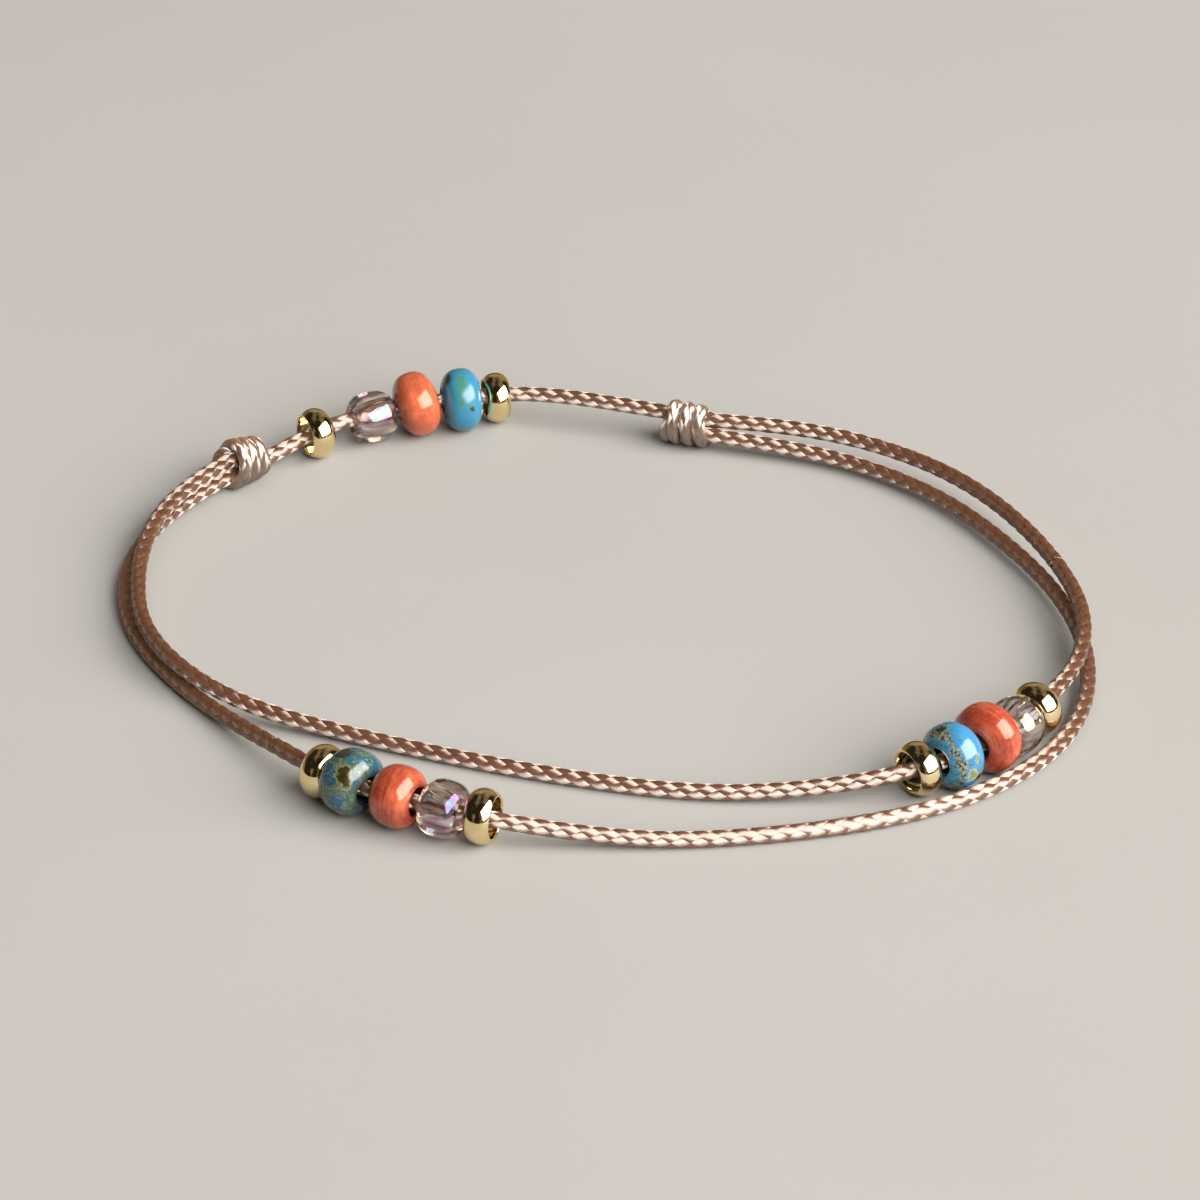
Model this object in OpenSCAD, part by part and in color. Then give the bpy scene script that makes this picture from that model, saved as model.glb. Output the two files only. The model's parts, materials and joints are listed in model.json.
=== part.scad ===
// Beaded cord anklet, lying on a flat surface as it rests when taken off.
// One braided cord makes the whole loop: it starts in the right knot, runs once round the outside,
// passes through the left knot, crosses the back, passes through the right knot,
// runs round again inside and ends in the left knot.
// The two wrapped knots slide on the cord and set the size. Three groups of five beads are strung on it.
// Z is up and the surface is z = 0. The loop's middle is x = y = 0, and the knots are at the back, +Y.

/* [Cord] */
// Diameter of the braided cord
cord_d = 1.2; // [1.0:0.05:1.2]
// Sides of the tube that stands for the braid
cord_sides = 8; // [8:1:10]
// Spacing of the tube's rings along the cord
ring_step = 4.4; // [4:0.1:5]

/* [Sliding knots] */
// Diameter over the left knot's first wrap, at its outer left face
left_knot_wide_d = 4.2; // [4.1:0.05:4.3]
// Diameter over the left knot's last wrap, towards the beads
left_knot_narrow_d = 3.2; // [3.1:0.05:3.3]
// Length over the left knot's wraps
left_knot_len = 4.0; // [3.9:0.1:4.2]
// Diameter over the right knot's first wrap, towards the beads
right_knot_wide_d = 3.6; // [3.5:0.05:3.7]
// Diameter over the right knot's last wrap, at its outer right face
right_knot_narrow_d = 3.4; // [3.4:0.05:3.5]
// Length over the right knot's wraps
right_knot_len = 4.2; // [4.1:0.1:4.4]
// Wraps of cord in each knot
knot_wraps = 4; // [3:1:5]
// Depth of the grooves between the wraps
groove_depth = 0.25; // [0.1:0.05:0.25]
// Diameter of the two channels that the strands lie in
channel_d = 1.6; // [1.55:0.05:1.65]
// Distance of each channel from the knot's axis
channel_offset = 0.65; // [0.64:0.01:0.66]

/* [Glass beads] */
// Hole of the turquoise and coral beads
seed_hole = 2.1; // [1.9:0.1:2.1]
// Hole of the clear beads
clear_hole = 2.0; // [1.9:0.1:2.0]

/* [Gold rings] */
// Diameter of the gold spacer rings
gold_d = 4.0; // [3.9:0.1:4.1]
// Width of the gold spacer rings along the cord
gold_w = 1.9; // [1.8:0.1:1.9]
// Hole of the gold spacer rings
gold_hole = 2.9; // [2.8:0.1:3.0]
// Radius of the middle of the gold rings' round outside
gold_core = 1.1; // [1.0:0.05:1.2]

/* [Finish] */
// Facets round each bead and knot
round_facets = 64; // [48:8:96]

/* [Hidden] */
CORD_COLOUR = "tan";
GOLD_COLOUR = "gold";
TURQUOISE_COLOUR = "mediumturquoise";
CORAL_COLOUR = "coral";
CLEAR_COLOUR = "mistyrose";

// Route of the cord, [x, y, z], as control points of one smooth curve
// Once round outside, from inside the right knot to the left knot
OUTER_ROUND = [
    [6.5, 26.8, 1.3], [10, 25.7, 1.3], [14.5, 24.5, 1.1], [20, 22.5, 0.9], [26.5, 17, 0.9],
    [31, 9.5, 0.9], [34.5, 1.5, 1.0], [36, -7.5, 1.1], [34.8, -16, 0.7], [30.5, -23, 0.6],
    [22.5, -28.5, 0.6], [13, -31, 0.6], [4, -32, 0.6], [-3, -31.5, 1.3], [-7.9, -31.3, 2.1],
    [-13.1, -29.3, 2.2], [-18.4, -26.7, 2.4], [-22.5, -21.5, 1.8], [-27, -15.5, 0.7], [-31.5, -9.5, 0.6],
    [-35, -2.5, 0.6], [-36, 6, 0.6], [-33.5, 14, 0.7], [-30.5, 17.5, 1.1]
];
// Through the left knot and across the back
BACK_STRETCH = [
    [-28, 20.6, 1.1], [-25.5, 23, 1.1], [-22, 26, 2.1], [-17.1, 28.4, 2.2],
    [-12.1, 29.6, 2.7], [-7, 31.5, 2.3], [-2, 30.3, 2.5], [2.5, 29.1, 2.3]
];
// Through the right knot, once round inside, and into the left knot
INNER_ROUND = [
    [5.5, 28.3, 2.2], [9, 26.8, 2.2], [13.5, 26, 2.3], [19.5, 24.5, 2.1], [26, 20, 2.1],
    [31, 13, 2.2], [34.5, 4, 2.3], [36, -4.5, 2.5], [34.5, -12, 2.4], [30.9, -17, 2.3],
    [27.6, -21.6, 2.5], [23, -25.4, 2.5], [16.6, -25.6, 1.1], [8, -26, 0.6], [-1, -24, 0.6],
    [-10, -21, 0.6], [-18.5, -17.5, 0.6], [-25.5, -15, 1.3], [-30.5, -11, 2.1], [-33.5, -5, 2.0],
    [-34.5, 1.5, 1.5], [-34.5, 8.5, 1.8], [-33, 14, 2.1], [-29.6, 18.9, 2.4], [-27.6, 21.1, 2.4]
];
ROUTE = concat(OUTER_ROUND, BACK_STRETCH, INNER_ROUND);
LAST = len(ROUTE) - 1;

// Beads in order along the cord: name, finish, diameter, width, middle [x, y],
// heading of the hole in degrees from +X, and lean of the hole up from level in degrees
BEADS = [
    ["back_gold_1", "gold", gold_d, gold_w, [-22.2, 25.2], 29, 0],
    ["back_clear", "clear", 4.1, 3.5, [-17.9, 27.8], 26, 0],
    ["back_coral", "coral", 5.2, 3.3, [-14.4, 29.0], 15, 13],
    ["back_turquoise", "turquoise", 5.0, 3.1, [-10.9, 29.9], 9, 3],
    ["back_gold_2", "gold", gold_d, gold_w, [-8.2, 31.2], 12, 0],
    ["left_gold_1", "gold", gold_d, gold_w, [-8, -30.8], 162, 0],
    ["left_clear", "clear", 4.2, 3.1, [-10.7, -30.05], 151, 1],
    ["left_coral", "coral", 4.6, 3.3, [-13.9, -28.7], 148, -2],
    ["left_turquoise", "turquoise", 4.9, 3.4, [-17.2, -27.0], 135, 3],
    ["left_gold_2", "gold", gold_d, gold_w, [-19.25, -24.95], 144, 0],
    ["right_gold_1", "gold", gold_d, gold_w, [31.2, -16.5], -133, -5],
    ["right_clear", "clear", 4.3, 3.0, [29.45, -19.2], -129, 0],
    ["right_coral", "coral", 5.3, 3.0, [27.35, -21.5], -126, -2],
    ["right_turquoise", "turquoise", 4.9, 3.1, [24.8, -23.6], -136, 2],
    ["right_gold_2", "gold", gold_d, gold_w, [22.4, -24.55], -147, -3]
];

// Middle of each knot, and its heading in degrees from +X
LEFT_KNOT_AT = [-27.6, 21];
LEFT_KNOT_HEADING = 46;
RIGHT_KNOT_AT = [7, 27.2];
RIGHT_KNOT_HEADING = -18;
// Lean of the pair of channels from upright in each knot
LEFT_KNOT_LEAN = 0;
RIGHT_KNOT_LEAN = -45;

// Rounding of the lip at each bead's mouth
LIP = 0.12;
// Steps from the middle of a bead's outside to its rim, and round its lip
OVAL_STEPS = 8;
LIP_STEPS = 3;
// How square the section of the glass beads is: 2 is an oval
SEED_SQUARENESS = 2.4;
CLEAR_SQUARENESS = 2.8;
// Points of the wraps' outline for each turn
OUTLINE_STEPS = 8;
// How far the wraps are drawn in at the knot's two faces
END_DRAW = 0.35;
// Depth of the channel that the cord's end lies in
END_DEPTH = 2.8;
CHANNEL_FACETS = 32;
// Least step between the tube's last two rings, in control points
LEAST_STEP = 0.3;

function unit(v) = v / norm(v);

// Control point i, carried on in a straight line past both ends
function control(i) =
    i < 0 ? 2 * ROUTE[0] - ROUTE[1] :
    i > LAST ? 2 * ROUTE[LAST] - ROUTE[LAST - 1] :
    ROUTE[i];

// Point of the curve at u control points along the route
function route_point(u) =
    let (
        i = max(0, min(LAST - 1, floor(u))),
        t = u - i
    )
    (pow(1 - t, 3) * control(i - 1)
        + (3 * pow(t, 3) - 6 * pow(t, 2) + 4) * control(i)
        + (-3 * pow(t, 3) + 3 * pow(t, 2) + 3 * t + 1) * control(i + 1)
        + pow(t, 3) * control(i + 2)) / 6;

// Velocity of the curve there
function route_velocity(u) =
    let (h = 0.005)
    (route_point(min(LAST, u + h)) - route_point(max(0, u - h)))
        / (min(LAST, u + h) - max(0, u - h));

// The place that lies a distance further along the cord, found in a few short steps
function further(u, distance, steps = 6) =
    steps == 0 ? u :
    further(
        u + distance / steps / norm(route_velocity(u)),
        distance * (steps - 1) / steps,
        steps - 1
    );

// Places of the tube's rings, an even step apart, from u to the end of the route
function ring_places(u) =
    let (next = further(u, ring_step))
    next > LAST - LEAST_STEP ? [u, LAST] : concat([u], ring_places(next));

// One ring of points round the curve at u, with a corner at the bottom
function ring(u) =
    let (
        way = unit(route_velocity(u)),
        side = unit(cross([0, 0, 1], way)),
        top = cross(way, side)
    )
    [for (k = [0:cord_sides - 1])
        let (a = 360 * k / cord_sides - 90)
        route_point(u) + cord_d / 2 * (cos(a) * side + sin(a) * top)];

// Section of a bead beside its axis, [radius, place along the axis]: an oval outside centred at the
// radius core and cut off by a hole with a rounded lip at each mouth
function bead_section(d, w, hole, core, squareness) =
    let (
        lip_radius = hole / 2 + LIP,
        crown = d / 2 - core,
        left_over = 1 - pow((lip_radius - core) / crown, squareness),
        lip_angle = asin(sqrt(1 - left_over)),
        rise = 90 - lip_angle,
        half_oval = w / 2 / pow(left_over, 1 / squareness),
        outside = [for (k = [-OVAL_STEPS:OVAL_STEPS])
            let (a = rise * k / OVAL_STEPS)
            [core + crown * pow(cos(a), 2 / squareness),
                half_oval * sign(a) * pow(abs(sin(a)), 2 / squareness)]],
        mouth = [for (k = [1:LIP_STEPS])
            let (a = 90 * k / LIP_STEPS)
            [lip_radius - LIP * sin(a), w / 2 - LIP * (1 - cos(a))]]
    )
    concat(outside, mouth, [for (k = [LIP_STEPS - 1:-1:0]) [mouth[k][0], -mouth[k][1]]]);

function bead_hole(finish) =
    finish == "gold" ? gold_hole :
    finish == "clear" ? clear_hole :
    seed_hole;

function bead_colour(finish) =
    finish == "gold" ? GOLD_COLOUR :
    finish == "turquoise" ? TURQUOISE_COLOUR :
    finish == "coral" ? CORAL_COLOUR :
    CLEAR_COLOUR;

// Radius at which the oval outside is centred: the gold rings are half round, the glass is barrel shaped
function bead_core(finish) = finish == "gold" ? gold_core : 0;

function bead_squareness(finish) =
    finish == "gold" ? 2 :
    finish == "clear" ? CLEAR_SQUARENESS :
    SEED_SQUARENESS;

// Height of a leaned bead's middle when it stands on the surface
function rest_height(section, lean) =
    max([for (p = section) p[0] * cos(lean) + abs(p[1]) * sin(abs(lean))]);

// A bead that stands on the surface, with its hole along the heading
module bead(finish, d, w, at, heading, lean) {
    section = bead_section(d, w, bead_hole(finish), bead_core(finish), bead_squareness(finish));
    color(bead_colour(finish))
        translate([at[0], at[1], rest_height(section, lean)])
            rotate([0, 90 - lean, heading])
                rotate_extrude($fn = round_facets)
                    polygon(section);
}

module cord() {
    places = ring_places(0);
    rings = [for (u = places) ring(u)];
    last_ring = len(places) - 1;
    color(CORD_COLOUR)
        polyhedron(
            points = [for (r = rings) each r],
            faces = concat(
                [[for (k = [cord_sides - 1:-1:0]) k]],
                [for (i = [0:last_ring - 1], k = [0:cord_sides - 1])
                    let (
                        a = i * cord_sides + k,
                        b = i * cord_sides + (k + 1) % cord_sides
                    )
                    each [[a, b, b + cord_sides], [a, b + cord_sides, a + cord_sides]]],
                [[for (k = [0:cord_sides - 1]) last_ring * cord_sides + k]]
            )
        );
}

// Half outline of a knot's wraps, bulging at each turn of cord and drawn in at both ends
function wraps_outline(wide_d, narrow_d, length) =
    [for (k = [0:knot_wraps * OUTLINE_STEPS])
        let (
            f = k / (knot_wraps * OUTLINE_STEPS),
            groove = groove_depth * (1 + cos(360 * knot_wraps * f)) / 2,
            end = max(0, 1 - 2 * knot_wraps * min(f, 1 - f))
        )
        [(wide_d + (narrow_d - wide_d) * f) / 2 - groove - END_DRAW * pow(end, 2), length * (f - 0.5)]];

function wraps_section(wide_d, narrow_d, length) =
    concat([[0, -length / 2]], wraps_outline(wide_d, narrow_d, length), [[0, length / 2]]);

// A knot's two channels: one right through for the strand that passes,
// and one from the face on the given side for the end of the cord that the wraps are tied with
module channels(length, lean, end_side) {
    passing = end_side < 0 ? -channel_offset : channel_offset;
    rotate([lean, 0, 0]) {
        translate([-length, 0, passing])
            rotate([0, 90, 0])
                cylinder(h = 2 * length, d = channel_d, $fn = CHANNEL_FACETS);
        translate([end_side * (length / 2 - END_DEPTH), 0, -passing])
            rotate([0, end_side * 90, 0])
                cylinder(h = length, d = channel_d, $fn = CHANNEL_FACETS);
    }
}

// A wrapped knot that lies on the surface along its taper, with its channels level
module knot(wide_d, narrow_d, length, at, heading, lean, end_side) {
    taper = atan((wide_d - narrow_d) / 2 / length);
    color(CORD_COLOUR)
        translate([at[0], at[1], (wide_d + narrow_d) / 4 * cos(taper)])
            rotate([0, 0, heading])
                difference() {
                    rotate([0, 90 + taper, 0])
                        rotate_extrude($fn = round_facets)
                            polygon(wraps_section(wide_d, narrow_d, length));
                    channels(length, lean, end_side);
                }
}

module left_knot() {
    knot(left_knot_wide_d, left_knot_narrow_d, left_knot_len, LEFT_KNOT_AT, LEFT_KNOT_HEADING, LEFT_KNOT_LEAN, -1);
}

module right_knot() {
    knot(right_knot_wide_d, right_knot_narrow_d, right_knot_len, RIGHT_KNOT_AT, RIGHT_KNOT_HEADING,
        RIGHT_KNOT_LEAN, 1);
}

cord();
left_knot();
right_knot();
for (b = BEADS)
    bead(b[1], b[2], b[3], b[4], b[5], b[6]);
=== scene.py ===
"""Looks of the beaded cord anklet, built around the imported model, in metres."""

import json
import math

import bpy
import numpy as np
from mathutils import Matrix, Vector

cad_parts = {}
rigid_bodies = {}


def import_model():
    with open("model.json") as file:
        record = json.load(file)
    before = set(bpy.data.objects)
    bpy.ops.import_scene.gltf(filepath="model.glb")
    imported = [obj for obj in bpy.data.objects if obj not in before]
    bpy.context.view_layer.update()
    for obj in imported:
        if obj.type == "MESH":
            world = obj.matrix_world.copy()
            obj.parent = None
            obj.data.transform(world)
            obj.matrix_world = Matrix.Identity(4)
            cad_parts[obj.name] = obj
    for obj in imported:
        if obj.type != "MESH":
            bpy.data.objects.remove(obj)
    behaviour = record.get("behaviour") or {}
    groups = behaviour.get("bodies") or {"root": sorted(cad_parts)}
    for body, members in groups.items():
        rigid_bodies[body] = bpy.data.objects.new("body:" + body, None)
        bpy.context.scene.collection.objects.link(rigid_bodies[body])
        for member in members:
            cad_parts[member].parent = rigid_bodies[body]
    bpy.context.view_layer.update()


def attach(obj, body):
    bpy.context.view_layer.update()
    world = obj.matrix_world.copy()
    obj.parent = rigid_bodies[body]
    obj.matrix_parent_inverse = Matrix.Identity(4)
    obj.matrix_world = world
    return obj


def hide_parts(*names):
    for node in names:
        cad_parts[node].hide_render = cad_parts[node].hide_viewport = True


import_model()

MM = 0.001

# Camera: where it stands, what it looks at, its lens on a square sensor, and how near and far it sees
CAMERA_AT = (0.00008, -0.32694, 0.19017)
CAMERA_LOOKS_AT = (0.00008, 0.00244, 0.0)
CAMERA_LENS = 152.6
CAMERA_SENSOR = 36.0
CAMERA_CLIP = (0.01, 10)

# Windows and lamp: where each stands, its width and height, its power and its colour, in metres and watts
DAYLIGHT = (1.0, 0.98, 0.95)
BEAD_WINDOW = ((1.044, -0.678, 0.840), (2.16, 1.38), 93.6, DAYLIGHT)
CORD_WINDOW = ((0.251, -0.310, 0.301), (0.66, 0.46), 10.0, DAYLIGHT)
KNOT_WINDOW = ((0.180, -0.096, 0.457), (0.60, 0.45), 11.5, DAYLIGHT)
CEILING_LAMP = ((-0.1, 0.1, 0.9), (1.2, 1.2), 4.0, (1.0, 0.98, 0.96))
# Dim room around: size and detail of its patches, where in their noise the dark and the pale ones lie,
# and the two colours
ROOM_SCALE = 1.1
ROOM_DETAIL = 2.0
ROOM_RANGE = (0.46, 0.64)
ROOM_DARK = (0.020, 0.017, 0.013, 1.0)
ROOM_PALE = (0.34, 0.27, 0.18, 1.0)
FLOOR_HALF = 1.2

# Route of the cord in millimetres, as control points of one smooth curve
# Once round outside, from inside the right knot to the left knot
OUTER_ROUND = [
    [6.5, 26.8, 1.3], [10, 25.7, 1.3], [14.5, 24.5, 1.1], [20, 22.5, 0.9], [26.5, 17, 0.9],
    [31, 9.5, 0.9], [34.5, 1.5, 1.0], [36, -7.5, 1.1], [34.8, -16, 0.7], [30.5, -23, 0.6],
    [22.5, -28.5, 0.6], [13, -31, 0.6], [4, -32, 0.6], [-3, -31.5, 1.3], [-7.9, -31.3, 2.1],
    [-13.1, -29.3, 2.2], [-18.4, -26.7, 2.4], [-22.5, -21.5, 1.8], [-27, -15.5, 0.7], [-31.5, -9.5, 0.6],
    [-35, -2.5, 0.6], [-36, 6, 0.6], [-33.5, 14, 0.7], [-30.5, 17.5, 1.1],
]
# Through the left knot and across the back
BACK_STRETCH = [
    [-28, 20.6, 1.1], [-25.5, 23, 1.1], [-22, 26, 2.1], [-17.1, 28.4, 2.2],
    [-12.1, 29.6, 2.7], [-7, 31.5, 2.3], [-2, 30.3, 2.5], [2.5, 29.1, 2.3],
]
# Through the right knot, once round inside, and into the left knot
INNER_ROUND = [
    [5.5, 28.3, 2.2], [9, 26.8, 2.2], [13.5, 26, 2.3], [19.5, 24.5, 2.1], [26, 20, 2.1],
    [31, 13, 2.2], [34.5, 4, 2.3], [36, -4.5, 2.5], [34.5, -12, 2.4], [30.9, -17, 2.3],
    [27.6, -21.6, 2.5], [23, -25.4, 2.5], [16.6, -25.6, 1.1], [8, -26, 0.6], [-1, -24, 0.6],
    [-10, -21, 0.6], [-18.5, -17.5, 0.6], [-25.5, -15, 1.3], [-30.5, -11, 2.1], [-33.5, -5, 2.0],
    [-34.5, 1.5, 1.5], [-34.5, 8.5, 1.8], [-33, 14, 2.1], [-29.6, 18.9, 2.4], [-27.6, 21.1, 2.4],
]
ROUTE = MM * np.array(OUTER_ROUND + BACK_STRETCH + INNER_ROUND)
LAST = len(ROUTE) - 1
# Points worked out on the curve, how far apart they are kept, and how many stretches the cord is made in
ROUTE_SAMPLES = 20000
LINE_STEP = 0.25 * MM
STRETCHES = 3

# Braid: eight strands, four each way round, each passing over and under one at a time
STRANDS_EACH_WAY = 4
BRAID_PITCH = 5.5 * MM
CORD_RADIUS = 0.60 * MM
# How far a strand swings out over the others and in under them: less in a tight wrap
BRAID_WAVE = 0.05 * MM
WRAP_WAVE = 0.03 * MM
# Thickness of a strand, and its width as a part of the room that it has
STRAND_THICK = 0.17 * MM
STRAND_FILL = 1.0
# How much a strand's thickness wanders, and over how many samples
STRAND_UNEVEN = 0.06
WANDER_SAMPLES = 24
CROSSINGS_A_PITCH = 8
SAMPLES_PER_CROSSING = 5
# Core of straight yarns inside the braid: its sides, and how many of the line's points it skips
CORE_SIDES = 8
CORE_EVERY = 6
# Corners of a strand's section: more on the side that shows
SECTION_ANGLES = np.radians([0, 30, 60, 90, 120, 150, 180, 235, 305])
# How flat a strand's top is: 1 is an oval section
STRAND_FLATNESS = 0.5
# How far the fibres' pattern is shifted from one strand to the next, and between the two ways round
STRAND_SHIFT = 3
HAND_SHIFT = 12

# Knots in millimetres: outer diameter at the left and the right face, length, middle [x, y], heading in
# degrees, the way that the wraps turn, and where round the knot the first wrap starts, in turns
KNOTS = {
    "left_knot": (4.2, 3.2, 4.0, (-27.6, 21), 46, -1, 0.2),
    "right_knot": (3.6, 3.4, 4.2, (7, 27.2), -18, 1, -0.2),
}
WRAPS = 4
# How far the wraps' cord is pressed flat: outward, and along the knot
WRAP_SQUASH = (0.86, 0.92)
WRAP_POINTS = 900
# Each end of the wraps goes in under the others: over what part of a turn, how far towards the knot's
# own axis, and how far back along it in wraps
TUCK = 0.4
TUCK_INWARD = 0.55
TUCK_BACK = 0.8

# Beads, each group in order along the cord: name, finish, diameter, width, middle [x, y] in millimetres,
# heading of the hole in degrees from +X, and lean of the hole up from level in degrees
GOLD_D = 4.0
GOLD_W = 1.9
BEADS = [
    ("back_gold_1", "gold", GOLD_D, GOLD_W, (-22.2, 25.2), 29, 0),
    ("back_clear", "clear", 4.1, 3.5, (-17.9, 27.8), 26, 0),
    ("back_coral", "coral", 5.2, 3.3, (-14.4, 29.0), 15, 13),
    ("back_turquoise", "turquoise", 5.0, 3.1, (-10.9, 29.9), 9, 3),
    ("back_gold_2", "gold", GOLD_D, GOLD_W, (-8.2, 31.2), 12, 0),
    ("left_gold_1", "gold", GOLD_D, GOLD_W, (-8, -30.8), 162, 0),
    ("left_clear", "clear", 4.2, 3.1, (-10.7, -30.05), 151, 1),
    ("left_coral", "coral", 4.6, 3.3, (-13.9, -28.7), 148, -2),
    ("left_turquoise", "turquoise", 4.9, 3.4, (-17.2, -27.0), 135, 3),
    ("left_gold_2", "gold", GOLD_D, GOLD_W, (-19.25, -24.95), 144, 0),
    ("right_gold_1", "gold", GOLD_D, GOLD_W, (31.2, -16.5), -133, -5),
    ("right_clear", "clear", 4.3, 3.0, (29.45, -19.2), -129, 0),
    ("right_coral", "coral", 5.3, 3.0, (27.35, -21.5), -126, -2),
    ("right_turquoise", "turquoise", 4.9, 3.1, (24.8, -23.6), -136, 2),
    ("right_gold_2", "gold", GOLD_D, GOLD_W, (22.4, -24.55), -147, -3),
]
# For each finish: diameter of the hole, radius where the outside's rounding is centred, and squareness of
# the rounding, where 2 is an oval, in millimetres
BEAD_SHAPES = {
    "gold": (2.9, 1.1, 2.0),
    "turquoise": (2.1, 0.0, 2.4),
    "coral": (2.1, 0.0, 2.4),
    "clear": (2.0, 0.0, 2.8),
}
# Radius of the rounded edge of the hole, and the steps of a bead's mesh
LIP = 0.12
ROUND_STEPS = 96
OVAL_STEPS = 14
LIP_STEPS = 5
HOLE_STEPS = 4
# How far glass beads are from round, as a part of their radius, in waves of so many round the bead
GLASS_UNEVEN = 0.006
GLASS_WAVES = (2, 3, 4)

# First seeds of the random draws
BEAD_SEED = 11
BRAID_SEED = 40
KNOT_SEED = 70


def spline(points, u):
    """Points of the cubic B-spline at places u, in control points, carried on straight past both ends."""
    padded = np.vstack([2 * points[0] - points[1], points, 2 * points[-1] - points[-2]])
    first = np.clip(np.floor(u).astype(int), 0, len(points) - 2)
    t = (u - first)[:, None]
    weights = (
        (1 - t) ** 3,
        3 * t ** 3 - 6 * t ** 2 + 4,
        -3 * t ** 3 + 3 * t ** 2 + 3 * t + 1,
        t ** 3,
    )
    return sum(w * padded[first + k] for k, w in enumerate(weights)) / 6


def distances(points):
    """How far along a line of points each one is."""
    steps = np.linalg.norm(np.diff(points, axis=0), axis=1)
    return np.concatenate([[0], np.cumsum(steps)])


def evenly(points, step):
    """The same line with points an even step apart."""
    along = distances(points)
    count = int(round(along[-1] / step)) + 1
    places = np.linspace(0, along[-1], count)
    return at_places(points, along, places)


def at_places(values, along, places):
    """Rows of values, known at the distances along, read at other places."""
    return np.stack([np.interp(places, along, column) for column in values.T], 1)


def unit_rows(rows):
    """Rows of a length of one."""
    return rows / np.linalg.norm(rows, axis=1, keepdims=True)


def plain_frames(points):
    """Two directions across a line at each point, that don't twist along it."""
    way = unit_rows(np.gradient(points, axis=0))
    side = np.cross((0, 0, 1), way[0])
    sides = []
    for w in way:
        side = side - w * side.dot(w)
        side = side / np.linalg.norm(side)
        sides.append(side)
    sides = np.array(sides)
    return sides, np.cross(way, sides)


def tube_faces(rings, corners, first=0):
    """Quads between rings of corners, and a cap at each end."""
    faces = []
    for i in range(rings - 1):
        for k in range(corners):
            a = first + i * corners + k
            b = first + i * corners + (k + 1) % corners
            faces.append((a, b, b + corners, a + corners))
    faces.append(tuple(first + k for k in reversed(range(corners))))
    faces.append(tuple(first + (rings - 1) * corners + k for k in range(corners)))
    return faces


def new_piece(name, verts, faces, material, fibre=None, crest=None):
    """A smooth mesh object. fibre is each vertex's place across and along its strand, and crest is how
    far out it lies, as a part of the cord's radius."""
    mesh = bpy.data.meshes.new(name)
    mesh.from_pydata(verts.tolist(), [], faces)
    mesh.polygons.foreach_set("use_smooth", np.ones(len(mesh.polygons), bool))
    if fibre is not None:
        corner_vertex = np.zeros(len(mesh.loops), int)
        mesh.loops.foreach_get("vertex_index", corner_vertex)
        layer = mesh.uv_layers.new(name="fibre")
        layer.uv.foreach_set("vector", fibre[corner_vertex].astype(np.float32).ravel())
    if crest is not None:
        layer = mesh.attributes.new("crest", "FLOAT", "POINT")
        layer.data.foreach_set("value", crest.astype(np.float32))
    mesh.materials.append(material)
    mesh.update()
    piece = bpy.data.objects.new(name, mesh)
    bpy.context.scene.collection.objects.link(piece)
    return piece


def braid(name, points, frames, material, start=0.0, seed=1, squash=(1.0, 1.0), wave=BRAID_WAVE):
    """A braided cord along points. frames are its two directions across, squash scales it along each of
    them, and start is how far along the whole cord the points begin."""
    draw = np.random.default_rng(seed)
    middle = CORD_RADIUS - wave - 0.5 * STRAND_THICK
    along = distances(points)
    row = BRAID_PITCH / CROSSINGS_A_PITCH
    column = math.pi / STRANDS_EACH_WAY
    count = int(along[-1] / row * SAMPLES_PER_CROSSING)
    p = np.linspace(0, along[-1] / row, count) + start / row
    across = 0.5 * STRAND_FILL * np.cos(SECTION_ANGLES)
    rise = np.sin(SECTION_ANGLES)
    height = 0.5 * STRAND_THICK * np.sign(rise) * np.abs(rise) ** STRAND_FLATNESS
    half_lay = math.atan2(column * (middle + wave), row)
    step = row / math.cos(half_lay) / MM
    verts, faces, fibre, crest = [], [], [], []
    for hand in (1, -1):
        for strand in range(STRANDS_EACH_WAY):
            thickness = 1 + STRAND_UNEVEN * slow_noise(draw, count)
            offset = middle + hand * wave * np.cos(math.pi * p)
            angle = hand * (column * p[:, None] - column * across) + 2 * column * strand
            place = np.clip((p[:, None] + across) * row - start, 0, along[-1])
            radius = offset[:, None] + height * thickness[:, None]
            centre = at_places(points, along, place.ravel())
            one = at_places(frames[0], along, place.ravel())
            two = at_places(frames[1], along, place.ravel())
            ring = (
                centre
                + (squash[0] * radius * np.cos(angle)).ravel()[:, None] * one
                + (squash[1] * radius * np.sin(angle)).ravel()[:, None] * two
            )
            corners = len(across)
            faces += tube_faces(count, corners, sum(len(v) for v in verts))
            verts.append(ring)
            u = np.broadcast_to(across * step * math.sin(2 * half_lay), angle.shape)
            u = u + STRAND_SHIFT * strand + HAND_SHIFT * hand
            v = step * (p[:, None] + across * math.cos(2 * half_lay))
            fibre.append(np.stack([u.ravel(), v.ravel()], 1))
            crest.append((radius / CORD_RADIUS).ravel())
    core, core_faces = core_tube(points, frames, squash, middle - wave, sum(len(v) for v in verts))
    verts.append(core)
    faces += core_faces
    fibre.append(np.zeros((len(core), 2)))
    crest.append(np.zeros(len(core)))
    return new_piece(name, np.vstack(verts), faces, material, np.vstack(fibre), np.concatenate(crest))


def slow_noise(draw, count):
    """Slowly wandering random values between -1 and 1, one for each of count samples."""
    marks = draw.uniform(-1, 1, count // WANDER_SAMPLES + 3)
    return np.interp(np.arange(count) / WANDER_SAMPLES, np.arange(len(marks)), marks)


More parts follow.
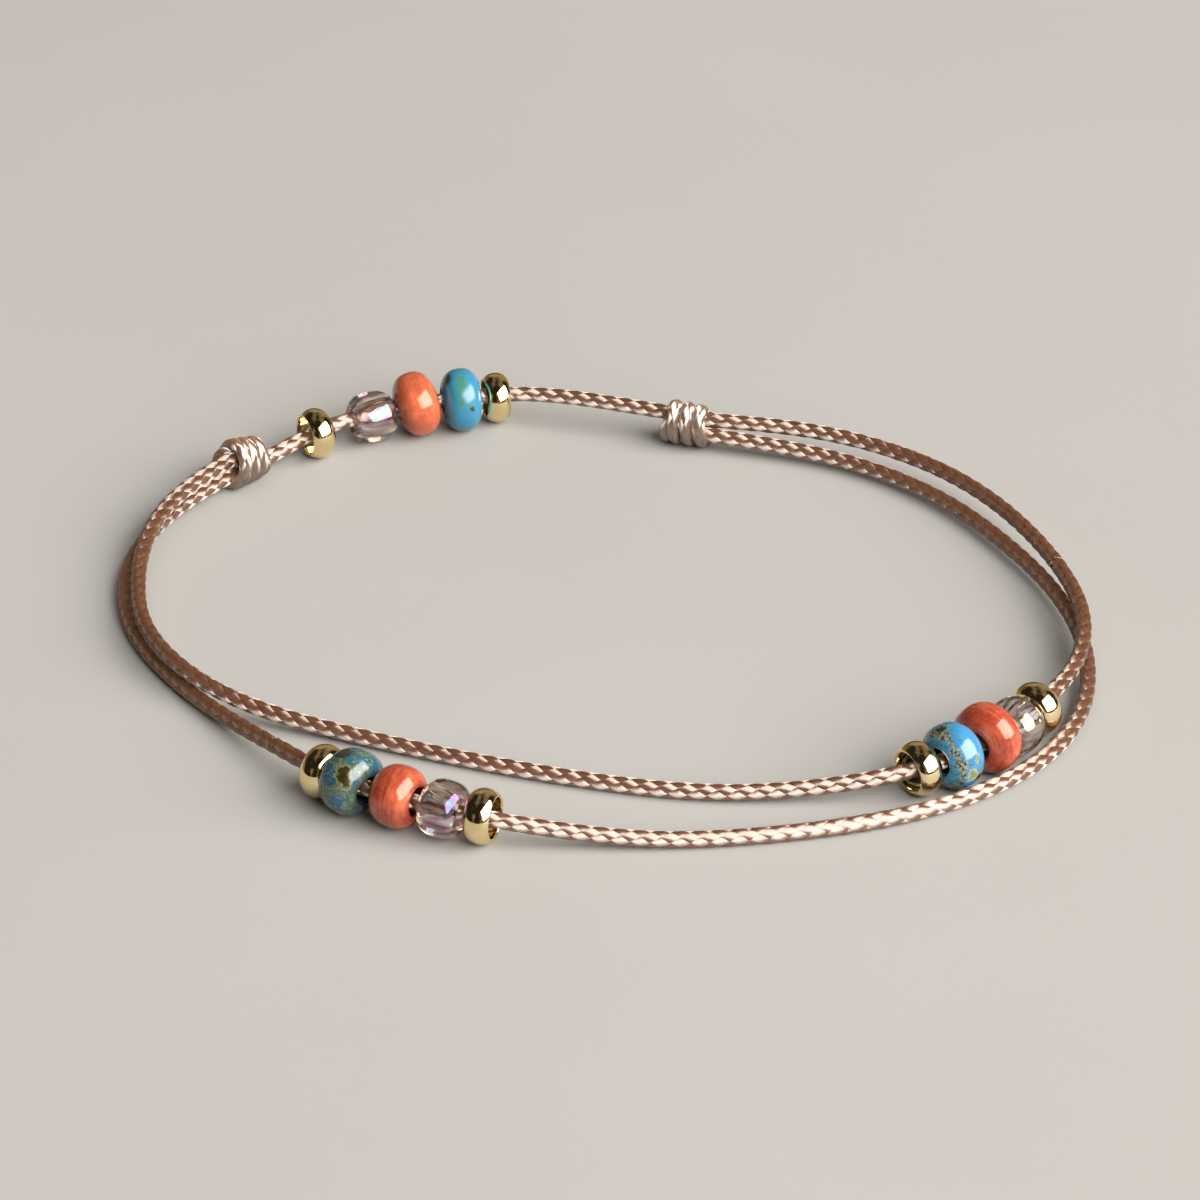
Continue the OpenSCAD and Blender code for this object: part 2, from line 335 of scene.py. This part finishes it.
def core_tube(points, frames, squash, radius, first):
    """The straight yarns inside the braid, as one tube."""
    keep = np.unique(np.append(np.arange(0, len(points), CORE_EVERY), len(points) - 1))
    turn = np.arange(CORE_SIDES) * 2 * math.pi / CORE_SIDES
    ring = (
        points[keep][:, None]
        + squash[0] * radius * np.cos(turn)[None, :, None] * frames[0][keep][:, None]
        + squash[1] * radius * np.sin(turn)[None, :, None] * frames[1][keep][:, None]
    )
    return ring.reshape(-1, 3), tube_faces(len(keep), CORE_SIDES, first)


class Graph:
    """Builds one material's nodes."""

    def __init__(self, name):
        self.material = bpy.data.materials.new(name)
        self.material.use_nodes = True
        self.tree = self.material.node_tree
        self.shader = self.tree.nodes["Principled BSDF"]

    def put(self, socket, value):
        if isinstance(value, bpy.types.NodeSocket):
            self.tree.links.new(value, socket)
        else:
            socket.default_value = value

    def node(self, kind, inputs=None, output=0, **settings):
        made = self.tree.nodes.new(kind)
        for key, value in settings.items():
            setattr(made, key, value)
        for key, value in (inputs or {}).items():
            self.put(made.inputs[key], value)
        return made.outputs[output]

    def shade(self, **inputs):
        """Sets the shader's sockets: an underscore in a name stands for a space."""
        for key, value in inputs.items():
            self.put(self.shader.inputs[key.replace("_", " ")], value)

    def object_place(self, scale=1000.0):
        place = self.node("ShaderNodeTexCoord", output="Object")
        return self.scaled(place, (scale, scale, scale))

    def scaled(self, vector, scale, location=(0, 0, 0)):
        return self.node("ShaderNodeMapping", {"Vector": vector, "Scale": scale, "Location": location})

    def noise(self, vector, scale, detail=2.0, roughness=0.5, distortion=0.0):
        return self.node("ShaderNodeTexNoise", {
            "Vector": vector, "Scale": scale, "Detail": detail,
            "Roughness": roughness, "Distortion": distortion,
        })

    def warped(self, vector, scale, amount, detail=2.0):
        """The place moved about by noise, so that what is drawn there gets a ragged edge."""
        inputs = {"Vector": vector, "Scale": scale, "Detail": detail}
        swirl = self.node("ShaderNodeTexNoise", inputs, output=1)
        shift = self.node("ShaderNodeVectorMath", {0: swirl, 1: (0.5, 0.5, 0.5)}, operation="SUBTRACT")
        move = self.scaled(shift, (amount, amount, amount))
        return self.node("ShaderNodeVectorMath", {0: vector, 1: move})

    def math(self, operation, a, b=0.0):
        return self.node("ShaderNodeMath", {0: a, 1: b}, operation=operation)

    def apart(self, a, b):
        """How far two values are apart."""
        return self.math("ABSOLUTE", self.math("SUBTRACT", a, b))

    def parts(self, vector):
        """The three coordinates of a place."""
        made = self.tree.nodes.new("ShaderNodeSeparateXYZ")
        self.put(made.inputs[0], vector)
        return made.outputs

    def ranged(self, value, low, high, to_low=0.0, to_high=1.0):
        return self.node("ShaderNodeMapRange", {
            "Value": value, "From Min": low, "From Max": high, "To Min": to_low, "To Max": to_high,
        })

    def mix(self, factor, a, b):
        made = self.tree.nodes.new("ShaderNodeMix")
        made.data_type = "RGBA"
        self.put(made.inputs[0], factor)
        self.put(made.inputs[6], a)
        self.put(made.inputs[7], b)
        return made.outputs[2]

    def bump(self, height, strength, distance):
        return self.node("ShaderNodeBump", {
            "Height": height, "Strength": strength, "Distance": distance,
        })


def rgb(red, green, blue):
    return (red, green, blue, 1.0)


# Waxed thread of the open cord and of the knots' wraps: how rough it is, how much its gloss follows the
# fibres, its refraction and the tint of its gloss, then its dark, its light and its faded brown
CORD_LOOKS = {
    "waxed_cord": (
        0.50, 1.0, 2.4, rgb(1.0, 0.90, 0.81),
        rgb(0.048, 0.013, 0.004), rgb(0.120, 0.038, 0.015), rgb(0.120, 0.048, 0.024),
    ),
    # The same thread as the open cord, with its browns painted lighter for the light on the knots
    "waxed_wraps": (
        0.44, 1.0, 2.3, rgb(1.0, 0.97, 0.94),
        rgb(0.060, 0.024, 0.010), rgb(0.150, 0.075, 0.036), rgb(0.160, 0.090, 0.050),
    ),
}
# Brown deep between the strands: painted shade, with wax that gathers there
GROOVE_WAX_AND_SHADE = rgb(0.018, 0.005, 0.002)


def cord_material(name):
    """Braided thread with satin fibres along each strand."""
    roughness, grain, ior, tint, dark, light, faded = CORD_LOOKS[name]
    g = Graph(name)
    place = g.node("ShaderNodeUVMap", uv_map="fibre")
    # Fibres are fine across a strand and long along it, and the fading drifts slowly
    fibres = g.noise(g.scaled(place, (13, 0.9, 1)), 1.0, detail=3, roughness=0.6)
    drift = g.noise(g.scaled(place, (0.3, 0.12, 1)), 1.0, detail=2)
    crest = g.node("ShaderNodeAttribute", output="Fac", attribute_name="crest")
    brown = g.mix(g.ranged(fibres, 0.35, 0.65), dark, light)
    brown = g.mix(g.ranged(drift, 0.35, 0.65, 0.0, 0.45), brown, faded)
    # Painted shade and gathered wax: the deeper a point lies between the strands, the darker it is
    colour = g.mix(g.ranged(crest, 0.78, 0.92), GROOVE_WAX_AND_SHADE, brown)
    tangent = g.node("ShaderNodeTangent", direction_type="UV_MAP", uv_map="fibre")
    g.shade(
        Base_Color=colour,
        Roughness=g.ranged(fibres, 0.3, 0.7, roughness - 0.04, roughness + 0.04),
        IOR=ior,
        Specular_IOR_Level=1.0,
        Specular_Tint=tint,
        Anisotropic=grain,
        Tangent=tangent,
        Normal=g.bump(fibres, 0.4, 0.02 * MM),
    )
    return g.material


# Plated metal, deeper and paler
GOLD_DEEP = rgb(0.86, 0.68, 0.36)
GOLD_PALE = rgb(0.92, 0.76, 0.46)


def gold_material(name):
    """Polished plated metal with a faint unevenness."""
    g = Graph(f"{name}_gold")
    # The length of the name sets where in the noise the ring lies
    place = g.scaled(g.object_place(), (1, 1, 1), (4.1 * len(name), 0, 0))
    smudge = g.noise(place, 0.9, detail=3)
    g.shade(
        Base_Color=g.mix(g.ranged(smudge, 0.35, 0.65), GOLD_DEEP, GOLD_PALE),
        Metallic=1.0,
        Roughness=g.ranged(smudge, 0.3, 0.7, 0.04, 0.09),
        Normal=g.bump(g.noise(place, 1.3, detail=2), 0.25, 0.02 * MM),
    )
    return g.material


# Coral glass: place of its streaks, and the two reds they run between
CORAL_LOOKS = {
    "back_coral": (1, rgb(0.32, 0.062, 0.026), rgb(0.50, 0.105, 0.044)),
    "left_coral": (2, rgb(0.23, 0.034, 0.017), rgb(0.42, 0.078, 0.036)),
    "right_coral": (3, rgb(0.23, 0.032, 0.016), rgb(0.44, 0.076, 0.034)),
}
# Paler clouds in it, a fine pale web, and painted shade in and round the hole
CORAL_CLOUD = rgb(0.50, 0.150, 0.065)
CORAL_WEB = rgb(0.52, 0.190, 0.110)
CORAL_HOLE_SHADE = rgb(0.16, 0.014, 0.008)


def coral_material(name):
    """Opaque orange-red glass, drawn out in fine rings round the bead."""
    seed, dark, light = CORAL_LOOKS[name]
    g = Graph(f"{name}_glass")
    place = g.object_place()
    x, y, z = g.parts(place)
    radius = g.math("SQRT", g.math("ADD", g.math("POWER", y, 2.0), g.math("POWER", z, 2.0)))
    rings = g.node("ShaderNodeCombineXYZ", {0: x, 1: radius, 2: float(seed)})
    move = g.scaled(place, (0.09, 0.09, 0.09))
    wander = g.node("ShaderNodeVectorMath", {0: rings, 1: move})
    streaks = g.noise(wander, 5.0, detail=4, roughness=0.65)
    cloud = g.noise(g.scaled(place, (1, 1, 1), (seed, 0, 0)), 0.7, detail=4)
    web = g.noise(g.warped(place, 1.2, 1.5), 2.4, detail=3)
    mottle = g.math("ADD", g.math("MULTIPLY", streaks, 0.5), g.math("MULTIPLY", cloud, 0.5))
    colour = g.mix(g.ranged(mottle, 0.4, 0.6), dark, light)
    colour = g.mix(g.ranged(cloud, 0.5, 0.7, 0.0, 0.4), colour, CORAL_CLOUD)
    colour = g.mix(g.ranged(g.apart(web, 0.5), 0.0, 0.02, 0.35, 0.0), colour, CORAL_WEB)
    # Painted shade, darkest inside the hole and fading out round it
    colour = g.mix(g.ranged(radius, 1.05, 1.5, 0.9, 0.0), colour, CORAL_HOLE_SHADE)
    g.shade(
        Base_Color=colour,
        Roughness=g.ranged(streaks, 0.3, 0.7, 0.07, 0.16),
        Specular_IOR_Level=0.5,
        Specular_Tint=rgb(1.0, 0.88, 0.66),
        Subsurface_Weight=0.1,
        Subsurface_Radius=(1.0, 0.3, 0.15),
        Subsurface_Scale=0.3 * MM,
        Coat_Weight=0.4,
        Coat_Roughness=0.05,
        Normal=g.bump(streaks, 0.5, 0.035 * MM),
    )
    return g.material


# Colours fired onto the turquoise beads
OLIVE = rgb(0.130, 0.140, 0.054)
GREEN = rgb(0.040, 0.150, 0.105)
BROWN = rgb(0.020, 0.013, 0.003)
DARK = rgb(0.014, 0.024, 0.018)
TEAL = rgb(0.030, 0.180, 0.200)
MOSS = rgb(0.034, 0.075, 0.060)
CREAM = rgb(0.230, 0.250, 0.150)
# Their ends, round the hole
RIM = rgb(0.030, 0.050, 0.045)
# Their spots: middle in millimetres from the bead's own, radius, and colours of edge and middle
BACK_SPOTS = [
    ((0.0, -0.9, 2.2), 0.55, TEAL, GREEN),
    ((-0.1, -1.4, 2.0), 0.60, TEAL, GREEN),
    ((-0.2, -1.8, 1.5), 0.55, TEAL, GREEN),
    ((-0.2, -2.2, 0.9), 0.42, TEAL, GREEN),
    ((0.6, -2.3, 0.2), 0.32, TEAL, BROWN),
    ((-1.2, -0.3, 2.1), 0.60, DARK, DARK),
]
LEFT_SPOTS = [
    ((0.4, 0.4, 2.3), 0.80, MOSS, DARK),
    ((1.3, 0.6, 1.8), 0.70, MOSS, DARK),
    ((0.4, 1.2, 2.0), 0.45, OLIVE, MOSS),
    ((-0.7, 1.5, 1.8), 0.62, OLIVE, BROWN),
    ((-1.0, 1.6, 1.3), 0.55, OLIVE, BROWN),
    ((-1.4, 1.5, -0.6), 0.55, OLIVE, GREEN),
    ((1.0, 2.1, 0.5), 0.35, OLIVE, GREEN),
    ((0.2, 2.2, -0.9), 0.40, TEAL, GREEN),
]
RIGHT_SPOTS = [
    ((0.8, -0.6, 2.1), 0.50, OLIVE, DARK),
    ((0.0, 2.3, 0.8), 0.26, CREAM, OLIVE),
    ((0.4, 2.4, -0.4), 0.42, CREAM, OLIVE),
    ((-0.2, 2.3, -0.7), 0.36, OLIVE, BROWN),
    ((-0.9, 2.1, -0.6), 0.30, CREAM, OLIVE),
]

# Turquoise glass: place of its pattern, its blue and its grey-blue, how much of it ragged patches cover,
# how strong patches and veins are, how uneven it is, how rough, its spots, and where along the hole a
# band runs round
TURQUOISE_LOOKS = {
    "back_turquoise": (
        5, rgb(0.026, 0.170, 0.300), rgb(0.024, 0.155, 0.210), 0.1, 0.0, 0.1, 0.24, BACK_SPOTS, None,
    ),
    "left_turquoise": (
        2, rgb(0.014, 0.076, 0.130), rgb(0.016, 0.060, 0.068), 0.5, 1.0, 0.3, 0.06, LEFT_SPOTS, None,
    ),
    "right_turquoise": (
        3, rgb(0.034, 0.190, 0.370), rgb(0.030, 0.150, 0.270), 0.1, 0.8, 0.3, 0.06, RIGHT_SPOTS, 1.1,
    ),
}


def turquoise_material(name):
    """Opaque blue glass with olive and brown patches fired onto it, ragged veins and dark spots."""
    seed, blue, grey, cover, wear, rough, gloss, spots, band = TURQUOISE_LOOKS[name]
    g = Graph(f"{name}_glass")
    place = g.object_place()
    moved = g.scaled(place, (1, 1, 1), (7.3 * seed, 2.1 * seed, 0))
    cloud = g.noise(moved, 0.9, detail=4, roughness=0.65)
    fine = g.noise(moved, 5.0, detail=3, roughness=0.7)
    vein = g.noise(g.warped(moved, 1.6, 0.8), 0.8, detail=2)
    colour = g.mix(g.ranged(cloud, 0.42, 0.6), blue, grey)
    level = g.math("ADD", cloud, g.math("MULTIPLY", fine, 0.4))
    patch = g.ranged(level, 0.84 - 0.3 * cover, 0.88 - 0.3 * cover)
    fired = g.mix(g.ranged(fine, 0.44, 0.62), MOSS, OLIVE)
    colour = g.mix(g.math("MULTIPLY", patch, 0.9 * wear), colour, fired)
    line = g.math("ADD", g.apart(vein, 0.5), g.math("MULTIPLY", fine, 0.03))
    thin = g.ranged(line, 0.018, 0.030, 0.85 * wear, 0.0)
    colour = g.mix(thin, colour, g.mix(g.ranged(fine, 0.45, 0.55), DARK, CREAM))
    ragged = g.warped(g.warped(place, 1.3, 0.5 + 0.6 * wear), 5.0, 0.4 * wear)
    soft = 0.45 - 0.25 * wear
    # All the spots' edges first, then their middles on top
    for part, reach in ((2, 1.15), (3, 0.85)):
        for spot in spots:
            middle, size = spot[:2]
            ends = {0: ragged, 1: middle}
            away = g.node("ShaderNodeVectorMath", ends, output="Value", operation="DISTANCE")
            inside = g.ranged(away, (reach - soft) * size, reach * size, 0.95, 0.0)
            colour = g.mix(inside, colour, spot[part])
    along = g.parts(ragged)[0]
    if band is not None:
        mottled = g.mix(g.ranged(fine, 0.42, 0.55), g.mix(cloud, DARK, BROWN), CREAM)
        colour = g.mix(g.ranged(g.apart(along, band), 0.16, 0.26, 0.9, 0.0), colour, mottled)
    colour = g.mix(g.ranged(g.math("ABSOLUTE", along), 1.45, 1.7, 0.0, 0.8), colour, RIM)
    g.shade(
        Base_Color=colour,
        Roughness=g.ranged(g.math("MULTIPLY", patch, wear), 0.0, 1.0, gloss, gloss + 0.12),
        Specular_IOR_Level=0.5,
        Coat_Weight=0.3,
        Coat_Roughness=gloss,
        Normal=g.bump(g.math("ADD", fine, g.math("MULTIPLY", patch, -0.5 * wear)), rough, 0.03 * MM),
    )
    return g.material


# Clear glass: place of its streaks, tint of its darker and its paler ones, and the thinnest and the
# thickest of the film that gives it lustre, in nanometres
CLEAR_LOOKS = {
    "back_clear": (1, rgb(0.60, 0.46, 0.42), rgb(0.90, 0.80, 0.78), 330, 560),
    "left_clear": (2, rgb(0.58, 0.40, 0.37), rgb(0.94, 0.83, 0.80), 312, 338),
    "right_clear": (3, rgb(0.46, 0.37, 0.36), rgb(0.82, 0.74, 0.73), 95, 140),
}


def clear_material(name):
    """Smoky pink glass with threads along it, and a lustre that shows a faint rainbow."""
    seed, smoke, pale, thin, thick = CLEAR_LOOKS[name]
    g = Graph(f"{name}_glass")
    place = g.object_place()
    streaks = g.noise(g.scaled(place, (0.35, 1.8, 1.8), (seed, 0, 0)), 1.0, detail=3, distortion=0.6)
    film = g.noise(g.scaled(place, (1, 1, 1), (seed, 0, 0)), 1.1, detail=2)
    g.shade(
        Base_Color=g.mix(g.ranged(streaks, 0.38, 0.62), smoke, pale),
        Transmission_Weight=g.ranged(streaks, 0.5, 0.7, 1.0, 0.86),
        Roughness=g.ranged(streaks, 0.35, 0.65, 0.02, 0.07),
        IOR=1.5,
        Thin_Film_Thickness=g.ranged(film, 0.35, 0.65, thin, thick),
        Thin_Film_IOR=1.75,
        Normal=g.bump(streaks, 0.4, 0.03 * MM),
    )
    return g.material


def bead_section(d, w, finish):
    """Closed section of a bead beside its axis, as rows of place along the axis and radius."""
    hole, core, squareness = BEAD_SHAPES[finish]
    lip_radius = hole / 2 + LIP
    crown = d / 2 - core
    left_over = 1 - ((lip_radius - core) / crown) ** squareness
    half_oval = w / 2 / left_over ** (1 / squareness)
    rise = math.pi / 2 - math.asin(math.sqrt(1 - left_over))
    a = rise * np.arange(-OVAL_STEPS, OVAL_STEPS + 1) / OVAL_STEPS
    outside = np.stack([
        half_oval * np.sign(a) * np.abs(np.sin(a)) ** (2 / squareness),
        core + crown * np.cos(a) ** (2 / squareness),
    ], 1)
    b = math.pi / 2 * np.arange(1, LIP_STEPS + 1) / LIP_STEPS
    mouth = np.stack([w / 2 - LIP * (1 - np.cos(b)), lip_radius - LIP * np.sin(b)], 1)
    reach = w / 2 - LIP
    bore = np.stack([
        np.linspace(reach, -reach, HOLE_STEPS + 2)[1:-1],
        np.full(HOLE_STEPS, hole / 2),
    ], 1)
    return np.vstack([outside, mouth, bore, mouth[::-1] * (-1, 1)])


def bead(name, finish, d, w, at, heading, lean, material, seed):
    """One bead, turned about its own x axis and stood on the surface. A glass one is a little uneven."""
    draw = np.random.default_rng(seed)
    section = bead_section(d, w, finish)
    turn = 2 * math.pi * np.arange(ROUND_STEPS) / ROUND_STEPS
    uneven = 0.0 if finish == "gold" else GLASS_UNEVEN
    phases = draw.uniform(0, 2 * math.pi, len(GLASS_WAVES))
    lumps = sum(np.sin(waves * turn + phase) for waves, phase in zip(GLASS_WAVES, phases)) * uneven
    radius = section[:, 1][:, None] * (1 - uneven * 2 + lumps[None, :])
    verts = np.stack([
        np.broadcast_to(section[:, 0][:, None], radius.shape),
        radius * np.cos(turn),
        radius * np.sin(turn),
    ], -1).reshape(-1, 3) * MM
    rows = len(section)
    faces = []
    for i in range(rows):
        for k in range(ROUND_STEPS):
            n = (k + 1) % ROUND_STEPS
            j = (i + 1) % rows
            faces.append((
                i * ROUND_STEPS + k, i * ROUND_STEPS + n,
                j * ROUND_STEPS + n, j * ROUND_STEPS + k,
            ))
    piece = new_piece(name, verts, faces, material)
    lean = math.radians(lean)
    height = np.max(section[:, 1] * math.cos(lean) + np.abs(section[:, 0]) * abs(math.sin(lean)))
    place = Matrix.Translation(MM * Vector((at[0], at[1], height)))
    turned = Matrix.Rotation(math.radians(heading), 4, "Z") @ Matrix.Rotation(-lean, 4, "Y")
    piece.matrix_world = place @ turned
    return piece


def make_beads():
    looks = {
        "gold": gold_material,
        "turquoise": turquoise_material,
        "coral": coral_material,
        "clear": clear_material,
    }
    for seed, (name, finish, d, w, at, heading, lean) in enumerate(BEADS, BEAD_SEED):
        material = looks[finish](name)
        piece = bead(name + "_look", finish, d, w, at, heading, lean, material, seed)
        finish_piece(piece, finish, name)


def finish_piece(piece, slot, *nodes):
    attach(piece, "root")
    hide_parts(*nodes)


def make_cord(material):
    """The whole cord, in stretches that meet face to face."""
    u = np.linspace(0, LAST, ROUTE_SAMPLES)
    line = evenly(spline(ROUTE, u), LINE_STEP)
    frames = plain_frames(line)
    cuts = [k * len(line) // STRETCHES for k in range(STRETCHES)] + [len(line) - 1]
    place = 0.0
    for k, (a, b) in enumerate(zip(cuts, cuts[1:])):
        stretch = slice(a, b + 1)
        parts = (frames[0][stretch], frames[1][stretch])
        name = f"cord_braid_{k + 1}"
        piece = braid(name, line[stretch], parts, material, start=place, seed=BRAID_SEED + k)
        place += distances(line[stretch])[-1]
        finish_piece(piece, "cord", "cord")


def knot_line(wide, narrow, length, at, heading, hand, first_turn):
    """Middle line of a knot's wraps with their two directions across: outward, and along the knot."""
    cord = 2 * CORD_RADIUS / MM
    full_turns = WRAPS - 1
    pitch = (length - WRAP_SQUASH[1] * cord) / full_turns
    turns = np.linspace(-TUCK, full_turns + TUCK, WRAP_POINTS)
    angle = hand * 2 * math.pi * (turns + first_turn)
    inward = np.clip(np.maximum(-turns, turns - full_turns) / TUCK, 0, 1) ** 2
    along = pitch * (turns - full_turns / 2 + TUCK_BACK * inward * np.where(turns < 0, 1, -1))
    outer = (wide + (narrow - wide) * (along / length + 0.5)) / 2
    reach = (outer - WRAP_SQUASH[0] * cord / 2) * (1 - TUCK_INWARD * inward)
    zero = np.zeros_like(angle)
    line = np.stack([along, reach * np.cos(angle), reach * np.sin(angle)], 1)
    out = np.stack([zero, np.cos(angle), np.sin(angle)], 1)
    taper = math.atan2((wide - narrow) / 2, length)
    turn = np.array(Matrix.Rotation(math.radians(heading), 3, "Z") @ Matrix.Rotation(taper, 3, "Y"))
    middle = np.array([at[0], at[1], (wide + narrow) / 4 * math.cos(taper)])
    line = (line @ turn.T + middle) * MM
    out = out @ turn.T
    way = unit_rows(np.gradient(line, axis=0))
    out = unit_rows(out - way * np.sum(out * way, axis=1, keepdims=True))
    return line, (out, np.cross(way, out))


def make_knots(material):
    for seed, (name, knot) in enumerate(KNOTS.items(), KNOT_SEED):
        line, frames = knot_line(*knot)
        piece = braid(name + "_wraps", line, frames, material, 0.0, seed, WRAP_SQUASH, WRAP_WAVE)
        finish_piece(piece, "cord", name)


# The floor's two greys
FLOOR_DEEP = rgb(0.290, 0.280, 0.265)
FLOOR_PALE = rgb(0.325, 0.315, 0.300)


def floor_material():
    g = Graph("pale_floor")
    place = g.node("ShaderNodeTexCoord", output="Object")
    cloud = g.noise(place, 14.0, detail=3)
    g.shade(
        Base_Color=g.mix(cloud, FLOOR_DEEP, FLOOR_PALE),
        Roughness=0.75,
        Specular_IOR_Level=0.2,
    )
    return g.material


def make_floor():
    corners = FLOOR_HALF * np.array([(-1, -1, 0), (1, -1, 0), (1, 1, 0), (-1, 1, 0)])
    floor = new_piece("floor", corners, [(0, 1, 2, 3)], floor_material())


def make_camera():
    data = bpy.data.cameras.new("camera")
    data.lens = CAMERA_LENS
    data.sensor_width = CAMERA_SENSOR
    data.sensor_height = CAMERA_SENSOR
    data.clip_start, data.clip_end = CAMERA_CLIP
    camera = bpy.data.objects.new("camera", data)
    camera.location = CAMERA_AT
    aim(camera, CAMERA_LOOKS_AT)
    bpy.context.scene.collection.objects.link(camera)
    bpy.context.scene.camera = camera


def aim(thing, target):
    towards = Vector(target) - Vector(thing.location)
    thing.rotation_euler = towards.to_track_quat("-Z", "Y").to_euler()


def pieces_named(word):
    """All objects with this word in their names."""
    return [thing for thing in bpy.context.scene.objects if word in thing.name]


def lit_group(name, pieces, state):
    """A group for a lamp that lights only these pieces (state INCLUDE) or all but these (EXCLUDE)."""
    group = bpy.data.collections.new(name)
    for piece in pieces:
        group.objects.link(piece)
    for member in group.collection_objects:
        member.light_linking.link_state = state
    return group


def lamp(name, at, size, power, colour, mirrored=True, group=None):
    """A soft lamp that faces the anklet. mirrored says whether shiny pieces show it."""
    data = bpy.data.lights.new(name, "AREA")
    data.shape = "RECTANGLE"
    data.size, data.size_y = size
    data.energy = power
    data.color = colour
    thing = bpy.data.objects.new(name, data)
    thing.location = at
    aim(thing, (0, 0, 0))
    thing.visible_camera = False
    thing.visible_glossy = mirrored
    thing.light_linking.receiver_collection = group
    bpy.context.scene.collection.objects.link(thing)


def make_light():
    """Wide windows at the right front, one each for the beads and the floor, the open cord and the knots,
    weak light from above, and a dim room with a few paler patches."""
    world = bpy.data.worlds.new("studio")
    world.use_nodes = True
    tree = world.node_tree
    room = tree.nodes["Background"]
    place = tree.nodes.new("ShaderNodeTexCoord")
    patches = tree.nodes.new("ShaderNodeTexNoise")
    patches.inputs["Scale"].default_value = ROOM_SCALE
    patches.inputs["Detail"].default_value = ROOM_DETAIL
    tree.links.new(place.outputs["Generated"], patches.inputs["Vector"])
    ramp = tree.nodes.new("ShaderNodeValToRGB")
    for element, position, colour in zip(ramp.color_ramp.elements, ROOM_RANGE, (ROOM_DARK, ROOM_PALE)):
        element.position = position
        element.color = colour
    tree.links.new(patches.outputs["Fac"], ramp.inputs["Fac"])
    tree.links.new(ramp.outputs["Color"], room.inputs["Color"])
    bpy.context.scene.world = world
    cord = pieces_named("cord_braid")
    knots = pieces_named("knot_wraps")
    lamp("key", *BEAD_WINDOW, group=lit_group("not_cord", cord + knots, "EXCLUDE"))
    lamp("cord_key", *CORD_WINDOW, group=lit_group("cord_only", cord, "INCLUDE"))
    lamp("knot_key", *KNOT_WINDOW, group=lit_group("knots_only", knots, "INCLUDE"))
    lamp("fill", *CEILING_LAMP, mirrored=False)


def main():
    make_camera()
    make_cord(cord_material("waxed_cord"))
    make_knots(cord_material("waxed_wraps"))
    make_beads()
    make_floor()
    make_light()
    bpy.context.scene.view_settings.view_transform = "Standard"


main()
